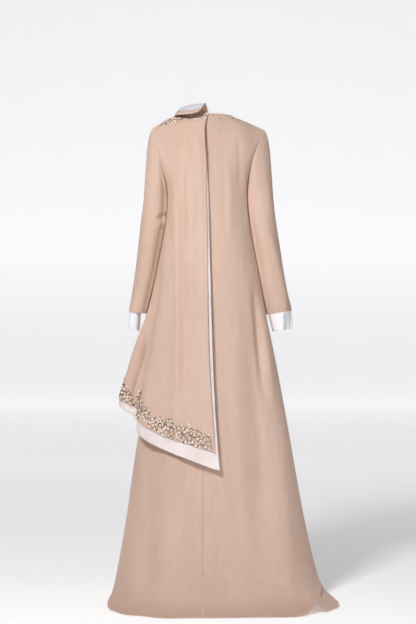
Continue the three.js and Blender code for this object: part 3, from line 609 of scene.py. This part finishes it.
clothPieces = {
    "gownFront": {
        "node": "gown_front", "levels": 2,
        "creases": gownCreases,
        "flat": (0.98, 1.67), "area": 0.94, "held": "hung",
        "restsOn": [],
    },
    "gownBackLeft": {
        "node": "gown_back_left", "levels": 3,
        "creases": gownCreases + capeCreases,
        "flat": (0.6, 1.7), "area": 0.5, "held": "hung",
        "restsOn": [],
    },
    "gownBackRight": {
        "node": "gown_back_right", "levels": 3,
        "creases": gownCreases,
        "flat": (0.68, 1.72), "area": 0.6, "held": "hung",
        "restsOn": [],
    },
    "sleeveLeft": {
        "node": "sleeve_left", "levels": 3,
        "creases": sleeveCreases["left"],
        "flat": (0.33, 0.65), "area": 0.147, "held": "hung",
        "restsOn": ["gownFront", "gownBackLeft"],
    },
    "sleeveRight": {
        "node": "sleeve_right", "levels": 3,
        "creases": sleeveCreases["right"],
        "flat": (0.33, 0.65), "area": 0.147, "held": "hung",
        "restsOn": ["gownFront", "gownBackRight"],
    },
    "halfCape": {
        "node": "cape", "levels": 3,
        "creases": gownCreases + capeCreases + edgeLifts["halfCape"],
        "flat": (0.47, 1.13), "area": 0.31, "held": "draped",
        "restsOn": ["gownBackLeft", "capeUnderlayer"],
    },
    "capeUnderlayer": {
        "node": "cape_underlayer", "levels": 3, "satin": True, "finish": "pinkShadeWhite",
        "creases": gownCreases + capeCreases + edgeLifts["capeUnderlayer"],
        "flat": (0.5, 1.19), "area": 0.335, "held": "draped",
        "restsOn": ["gownBackLeft"],
    },
    "cuffLeft": {
        "node": "cuff_left", "levels": 3, "satin": True,
        "creases": [],
        "flat": (0.2, 0.08), "area": 0.0145, "held": "hung",
        "restsOn": ["sleeveLeft"],
    },
    "cuffRight": {
        "node": "cuff_right", "levels": 3, "satin": True,
        "creases": sleeveCreases["right"],
        "flat": (0.24, 0.085), "area": 0.0188, "held": "hung",
        "restsOn": ["sleeveRight"],
    },
    "collarFall": {
        "node": "collar_fall", "levels": 2, "satin": True, "finish": "greyShadeSatin",
        "creases": [],
        "flat": (0.25, 0.035), "area": 0.0068, "held": "folded",
        "restsOn": ["collarFacing"],
    },
    "collarFacing": {
        "node": "collar_facing", "levels": 2,
        "creases": [],
        "flat": (0.26, 0.04), "area": 0.0087, "held": "folded",
        "restsOn": ["collarStand"],
    },
    "collarStand": {
        "node": "collar_stand", "levels": 2, "slot": "beaded_trim",
        "creases": [],
        "flat": (0.21, 0.025), "area": 0.0042, "held": "folded",
        "restsOn": ["gownFront", "gownBackLeft"],
    },
}


def sewSkin(name, spec):
    piece = outerSkin(spec["node"], name)
    smoothSkin(piece, spec["levels"])
    drape(piece, spec["creases"])
    return piece


def surfaceOf(pieces):
    # one search tree over several skins
    points, faces = [], []
    for piece in pieces:
        first = len(points)
        points.extend(v.co.copy() for v in piece.data.vertices)
        faces.extend(tuple(v + first for v in f.vertices) for f in piece.data.polygons)
    return bvhtree.BVHTree.FromPolygons(points, faces)


# how a sleeve leans on the body, and how its upper edge is laid down
leaning = {
    "reach": 0.017,
    "fadeShare": 0.35,  # the last share of the reach, where the lean fades out
    "facing": 0.72,
    "facingRun": 0.25,
    "gap": 0.0002,
    "tuckAbove": -0.45,
    "tuckWithin": 0.007,
    "tuckOver": 0.012,
    "tuckHeight": 0.0004,
}


def leanOnBody(piece, body, towards):
    # the side of a sleeve next to the gown's body is pressed against it
    direction, reach = Vector((towards, 0, 0)), leaning["reach"]
    points, normals = readPoints(piece)
    facing = normals[:, 0] * towards - leaning["facing"]
    facing = np.clip(facing / leaning["facingRun"], 0, 1)
    for index in np.flatnonzero(facing):
        hit = body.ray_cast(Vector(points[index]), direction, reach)
        if hit[0] is not None:
            near = min((reach - hit[3]) / (reach * leaning["fadeShare"]), 1)
            way = max(hit[3] - leaning["gap"], 0)
            points[index, 0] += towards * way * facing[index] * near
    writePoints(piece, points)


def tuckTop(piece, body):
    # the sleeve's upper edge is laid down on the cloth that it is sewn to
    mesh = bmesh.new()
    mesh.from_mesh(piece.data)
    rim = [v for v in mesh.verts if v.is_boundary and v.co.z > leaning["tuckAbove"]]
    search = kdtree.KDTree(len(rim))
    shifts = []
    for index, vertex in enumerate(rim):
        search.insert(vertex.co.copy(), index)
        place, normal, _, _ = body.find_nearest(vertex.co, leaning["tuckWithin"])
        if place is None:
            shifts.append(Vector())
        else:
            shifts.append(place + normal * leaning["tuckHeight"] - vertex.co)
    search.balance()
    for vertex in mesh.verts:
        _, index, away = search.find(vertex.co)
        if away < leaning["tuckOver"]:
            vertex.co += shifts[index] * (1 - away / leaning["tuckOver"]) ** 2
    mesh.to_mesh(piece.data)
    mesh.free()


def setInSleeve(skins, name, bodyNames, towards):
    body = surfaceOf([skins[other] for other in bodyNames])
    leanOnBody(skins[name], body, towards)
    tuckTop(skins[name], body)


def finishPieces(skins, finishes):
    for name, spec in clothPieces.items():
        satin = spec.get("satin", False)
        thickness = cloth["satinThickness"] if satin else cloth["crepeThickness"]
        material = finishes[spec.get("finish", "satin" if satin else "crepe")]
        finishCloth(skins[name], spec["node"], material, thickness)


# Small things that are modelled once and copied


def takeMesh(part):
    # points, faces and material indices of a finished model, which is then removed
    points = np.array([v.co[:] for v in part.data.vertices])
    faces = [tuple(f.vertices) for f in part.data.polygons]
    slots = [f.material_index for f in part.data.polygons]
    bpy.data.objects.remove(part)
    return points, faces, slots


def emptyParts():
    return {"points": [], "faces": [], "slots": [], "next": 0}


def addCopy(made, model, turn, place):
    points, faces, slots = model
    first = made["next"]
    made["points"].append((turn @ points.T).T + np.array(place))
    made["faces"].extend(tuple(v + first for v in face) for face in faces)
    made["slots"].extend(slots)
    made["next"] += len(points)


def joinedPiece(name, made, materials):
    data = bpy.data.meshes.new(name)
    data.from_pydata(np.concatenate(made["points"]).tolist(), [], made["faces"])
    for material in materials:
        data.materials.append(material)
    data.polygons.foreach_set("material_index", made["slots"])
    data.polygons.foreach_set("use_smooth", [True] * len(data.polygons))
    data.update()
    piece = bpy.data.objects.new(name, data)
    bpy.context.scene.collection.objects.link(piece)
    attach(piece, "root")
    return piece


# Stitches

stitching = {
    "length": 0.0026,
    "width": 0.00045,
    "pitch": 0.0042,
    "upright": 0.8,  # a rim that rises by this share of its length runs up and down
    "centreWithin": 0.05,
    # which rims are sewn, how far in, and between which heights
    "rows": [
        {"piece": "gownBackLeft", "inset": 0.0018, "low": -1.58, "high": -1.0, "side": "centre"},
        {"piece": "cuffLeft", "inset": 0.004, "low": -0.74, "high": -0.69, "side": "all"},
        {"piece": "cuffRight", "inset": 0.004, "low": -0.74, "high": -0.69, "side": "all"},
        {"piece": "sleeveLeft", "inset": 0.0016, "low": -0.35, "high": 0, "side": "all"},
        {"piece": "sleeveRight", "inset": 0.0016, "low": -0.35, "high": 0, "side": "all"},
        {"piece": "capeUnderlayer", "inset": 0.0035, "low": -1.2, "high": -0.15, "side": "centre"},
        {"piece": "capeUnderlayer", "inset": 0.0035, "low": -1.2, "high": -0.9, "side": "hem"},
        {"piece": "collarFall", "inset": 0.003, "low": -0.1, "high": 0.1, "side": "all"},
    ],
}


def rimPlaces(piece, row):
    # places and directions of stitches inside a skin's rim
    mesh = bmesh.new()
    mesh.from_mesh(piece.data)
    mesh.normal_update()
    found = []
    for edge in mesh.edges:
        if not edge.is_boundary:
            continue
        start, end = (v.co for v in edge.verts)
        middle = (start + end) / 2
        run = end - start
        upright = abs(run.z) > stitching["upright"] * run.length
        if not row["low"] < middle.z < row["high"]:
            continue
        central = upright and middle.x < stitching["centreWithin"]
        if row["side"] == "centre" and not central:
            continue
        if row["side"] == "hem" and upright:
            continue
        face = edge.link_faces[0]
        inward = face.calc_center_median() - middle
        inward = (inward - inward.project(run)).normalized()
        found.append((start + inward * row["inset"], run, face.normal.copy()))
    mesh.free()
    return found


def stitchPiece(name, skins, material):
    bpy.ops.object.select_all(action="DESELECT")
    bpy.ops.mesh.primitive_uv_sphere_add(segments=6, ring_count=4, radius=1)
    model = takeMesh(bpy.context.object)
    made = emptyParts()
    pitch = stitching["pitch"]
    size = np.array((stitching["length"], stitching["width"], stitching["width"])) / 2
    for row in stitching["rows"]:
        left = pitch / 2
        for start, run, normal in rimPlaces(skins[row["piece"]], row):
            along = run.normalized()
            side = normal.cross(along)
            turn = np.array(Matrix((along, side, normal)).transposed()) * size
            while left < run.length:
                addCopy(made, model, turn, start + along * left)
                left += pitch
            left -= run.length
    piece = joinedPiece(name, made, [material])
    print(name, len(made["points"]), "stitches")
    return piece


# Beads

beadTrim = {
    "seed": 11,
    "clearance": 0.0007,
    "pearlRadius": 0.0021,
    "eyeRadius": 0.00147,  # the pearl in a flower
    "bronzeRadius": 0.0019,
    "chipRadius": 0.0011,
    "chipLength": 0.00264,
    "petals": 5,
    "petalLength": 0.0046,
    # in petal lengths: where a petal starts, its width there, how it swells, and how it rises
    "petalForm": {
        "start": 0.12, "width": 0.55, "swell": 0.75, "taper": 1.35,
        "lift": 0.16, "rise": 0.42, "cup": 0.5,
    },
    # kinds in the order that they are sewn on: spacing in metres, tries for each place that
    # would fit, sizes as shares of the model, and tilt
    "hem": [
        {"kind": "flower", "spacing": 0.0096, "tries": 10, "sizes": (0.7, 1.15), "tilt": 0.22},
        {"kind": "bronze", "spacing": 0.0062, "tries": 2.2, "sizes": (0.8, 1.25), "tilt": 0.2},
        {"kind": "pearl", "spacing": 0.0058, "tries": 1.6, "sizes": (0.5, 1.0), "tilt": 0.2},
        {"kind": "chip", "spacing": 0.0045, "tries": 1.2, "sizes": (0.8, 1.3), "tilt": 0.3},
    ],
    "neck": [
        {"kind": "flower", "spacing": 0.0078, "tries": 4, "sizes": (0.6, 0.85), "tilt": 0.22},
        {"kind": "bronze", "spacing": 0.0052, "tries": 2, "sizes": (0.7, 1.0), "tilt": 0.2},
        {"kind": "pearl", "spacing": 0.0048, "tries": 2, "sizes": (0.6, 0.9), "tilt": 0.2},
    ],
    "sparse": [
        {"kind": "pearl", "spacing": 0.0062, "tries": 1.4, "sizes": (0.45, 0.8), "tilt": 0.2},
        {"kind": "chip", "spacing": 0.005, "tries": 0.7, "sizes": (0.7, 1.1), "tilt": 0.3},
    ],
    "bandReach": 0.004,  # a bead's place is this near to the band's solid
    "hemWidth": 0.06,
    "ragged": 0.018,
    "waves": {"coarse": 70, "fine": 260, "share": 1.4},  # of the ragged edge
    "hemFlatness": 0.85,
    "hemBelow": -0.7,
    # the sparse beads right of the nape, under the neckline
    "neckline": {"from": -0.085, "to": 0.0, "height": -0.016, "rise": 0.08},
}


def setMaterial(part, index):
    for face in part.data.polygons:
        face.material_index = index


def joinSelected(parts):
    bpy.ops.object.select_all(action="DESELECT")
    for part in parts:
        part.select_set(True)
    bpy.context.view_layer.objects.active = parts[0]
    bpy.ops.object.join()
    return parts[0]


def modelPearl(radius, index):
    bpy.ops.object.select_all(action="DESELECT")
    middle = (0, 0, radius * 0.8)
    bpy.ops.mesh.primitive_uv_sphere_add(segments=8, ring_count=5, radius=radius, location=middle)
    pearl = bpy.context.object
    bpy.ops.object.transform_apply(location=True, rotation=True, scale=True)
    setMaterial(pearl, index)
    return pearl


def modelPetal(turn):
    # a cupped petal of four faces that leans up from the cloth
    length, form = beadTrim["petalLength"], beadTrim["petalForm"]
    bpy.ops.object.select_all(action="DESELECT")
    bpy.ops.mesh.primitive_grid_add(x_subdivisions=2, y_subdivisions=2, size=length)
    petal = bpy.context.object
    for vertex in petal.data.vertices:
        along = vertex.co.x / length + 0.5
        side = vertex.co.y / length
        swell = form["swell"] * along * (form["taper"] - along)
        vertex.co.x = length * (form["start"] + along)
        vertex.co.y = length * side * (form["width"] + swell)
        vertex.co.z = length * (form["lift"] + form["rise"] * along - form["cup"] * side * side)
    petal.rotation_euler = (0, 0, turn)
    bpy.ops.object.transform_apply(location=True, rotation=True, scale=True)
    setMaterial(petal, 1)
    return petal


def modelFlower():
    count = beadTrim["petals"]
    petals = [modelPetal(k * 2 * math.pi / count) for k in range(count)]
    return takeMesh(joinSelected([modelPearl(beadTrim["eyeRadius"], 0), *petals]))


def modelChip():
    radius, length = beadTrim["chipRadius"], beadTrim["chipLength"]
    middle = (0, 0, radius)
    bpy.ops.object.select_all(action="DESELECT")
    bpy.ops.mesh.primitive_cylinder_add(vertices=6, radius=radius, depth=length, location=middle)
    chip = bpy.context.object
    chip.rotation_euler = (math.pi / 2, 0, 0)
    bpy.ops.object.transform_apply(location=True, rotation=True, scale=True)
    setMaterial(chip, 2)
    return takeMesh(chip)


def spacedPlaces(faces, spec, rng, kept):
    # points on the given faces, a spacing apart; faces are (corners, normal, area)
    spacing = spec["spacing"]
    area = sum(face[2] for face in faces)
    search = {}  # places by the cell of a grid that they are in
    steps = [(a, b, c) for a in (-1, 0, 1) for b in (-1, 0, 1) for c in (-1, 0, 1)]

    def cellOf(p):
        return tuple(int(math.floor(c / spacing)) for c in p)

    def crowded(p):
        i, j, k = cellOf(p)
        cells = [(i + a, j + b, k + c) for a, b, c in steps]
        return any((p - q).length < spacing for cell in cells for q in search.get(cell, ()))

    for place in kept:
        search.setdefault(cellOf(place), []).append(place)
    found = []
    tries = int(area / spacing**2 * spec["tries"])
    for corners, normal, _ in rng.choices(faces, weights=[f[2] for f in faces], k=tries):
        u, v = rng.random(), rng.random()
        a, b, c, d = corners
        p = a.lerp(b, u).lerp(d.lerp(c, u), v)
        if not crowded(p):
            search.setdefault(cellOf(p), []).append(p)
            found.append((p, normal))
    return found


def bandFaces(skin, node):
    # quads of a smooth skin that lie near a CAD band
    band, reach = surfaceOf([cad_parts[node]]), beadTrim["bandReach"]
    return facesWhere(skin, lambda face: band.find_nearest(face.center, reach)[0] is not None)


def underNeckline(face):
    line, x = beadTrim["neckline"], face.center.x
    return line["from"] < x < line["to"] and face.center.z > line["height"] + line["rise"] * abs(x)


def facesWhere(skin, test):
    # corners, normal and area of the quads that pass a test
    points = skin.data.vertices
    return [
        ([points[v].co.copy() for v in face.vertices], face.normal.copy(), face.area)
        for face in skin.data.polygons
        if len(face.vertices) == 4 and test(face)
    ]


def raggedFaces(skin, faces):
    # the band's upper edge comes and goes
    mesh = bmesh.new()
    mesh.from_mesh(skin.data)
    hem = []
    for edge in mesh.edges:
        start, end = edge.verts
        level = abs((start.co - end.co).normalized().z) < beadTrim["hemFlatness"]
        if edge.is_boundary and level:
            hem.extend(v.co.copy() for v in edge.verts if v.co.z < beadTrim["hemBelow"])
    mesh.free()
    search = kdtree.KDTree(len(hem))
    for index, place in enumerate(hem):
        search.insert(place, index)
    search.balance()
    kept, waves = [], beadTrim["waves"]
    for face in faces:
        middle = sum(face[0], Vector()) / 4
        height = search.find(middle)[2]
        wave = (noise.noise(middle * waves["coarse"]) + noise.noise(middle * waves["fine"])) / 2
        if height < beadTrim["hemWidth"] - beadTrim["ragged"] * (0.5 + wave * waves["share"]):
            kept.append(face)
    return kept


def beadPiece(name, faces, kinds, finishes, models):
    rng = random.Random(beadTrim["seed"])
    made = emptyParts()
    kept, counts = [], {}
    for spec in kinds:
        places = spacedPlaces(faces, spec, rng, kept)
        kept.extend(p for p, _ in places)
        counts[spec["kind"]] = len(places)
        for place, normal in places:
            lean = Vector([rng.gauss(0, spec["tilt"]) for _ in range(3)])
            up = (normal + lean).to_track_quat("Z", "Y").to_matrix()
            turn = up @ Matrix.Rotation(rng.uniform(0, 2 * math.pi), 3, "Z")
            turn = np.array(turn * rng.uniform(*spec["sizes"]))
            foot = place + normal * beadTrim["clearance"]
            addCopy(made, models[spec["kind"]], turn, foot)
    print(name, counts)
    return joinedPiece(name, made, [finishes[key] for key in ("pearl", "petal", "bronze")])


def makeBeads(skins, finishes):
    models = {
        "flower": modelFlower(),
        "pearl": takeMesh(modelPearl(beadTrim["pearlRadius"], 0)),
        "bronze": takeMesh(modelPearl(beadTrim["bronzeRadius"], 2)),
        "chip": modelChip(),
    }
    cape = skins["halfCape"]
    places = {
        "hemBeads": (raggedFaces(cape, bandFaces(cape, "cape_hem_beads")), "hem"),
        "neckBeads": (bandFaces(cape, "neck_beads"), "neck"),
        "collarBeads": (facesWhere(skins["collarStand"], lambda face: True), "neck"),
        "necklineBeads": (facesWhere(skins["gownBackRight"], underNeckline), "sparse"),
    }
    beads = {
        name: beadPiece(name, faces, beadTrim[kinds], finishes, models)
        for name, (faces, kinds) in places.items()
    }
    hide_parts("cape_hem_beads")
    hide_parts("neck_beads")
    return beads


def makeGarment():
    finishes = {
        "crepe": makeCrepe("blushCrepe", blushCrepe),
        "satin": makeSatin("whiteSatin", whiteSatin),
        "pinkShadeWhite": makeSatin("pinkShadeWhiteSatin", pinkShadeWhite),
        "greyShadeSatin": makeSatin("greyShadeWhiteSatin", greyShadeSatin),
        "thread": makeThread("silkThread", silkThread),
        "pearl": makeBeadFinish("pearlBead", pearlFinish),
        "petal": makeBeadFinish("petalBead", petalFinish),
        "bronze": makeBeadFinish("bronzeBead", bronzeFinish),
    }
    skins = {name: sewSkin(name, spec) for name, spec in clothPieces.items()}
    print("skins sewn")
    setInSleeve(skins, "sleeveLeft", ("gownFront", "gownBackLeft", "halfCape"), -1)
    setInSleeve(skins, "sleeveRight", ("gownFront", "gownBackRight"), 1)
    print("sleeves set in")
    beads = makeBeads(skins, finishes)
    stitches = stitchPiece("stitches", skins, finishes["thread"])
    finishPieces(skins, finishes)


setCamera()
setStudio()
laySweep(makePaper())
print("studio ready")
makeGarment()
print("garment ready")
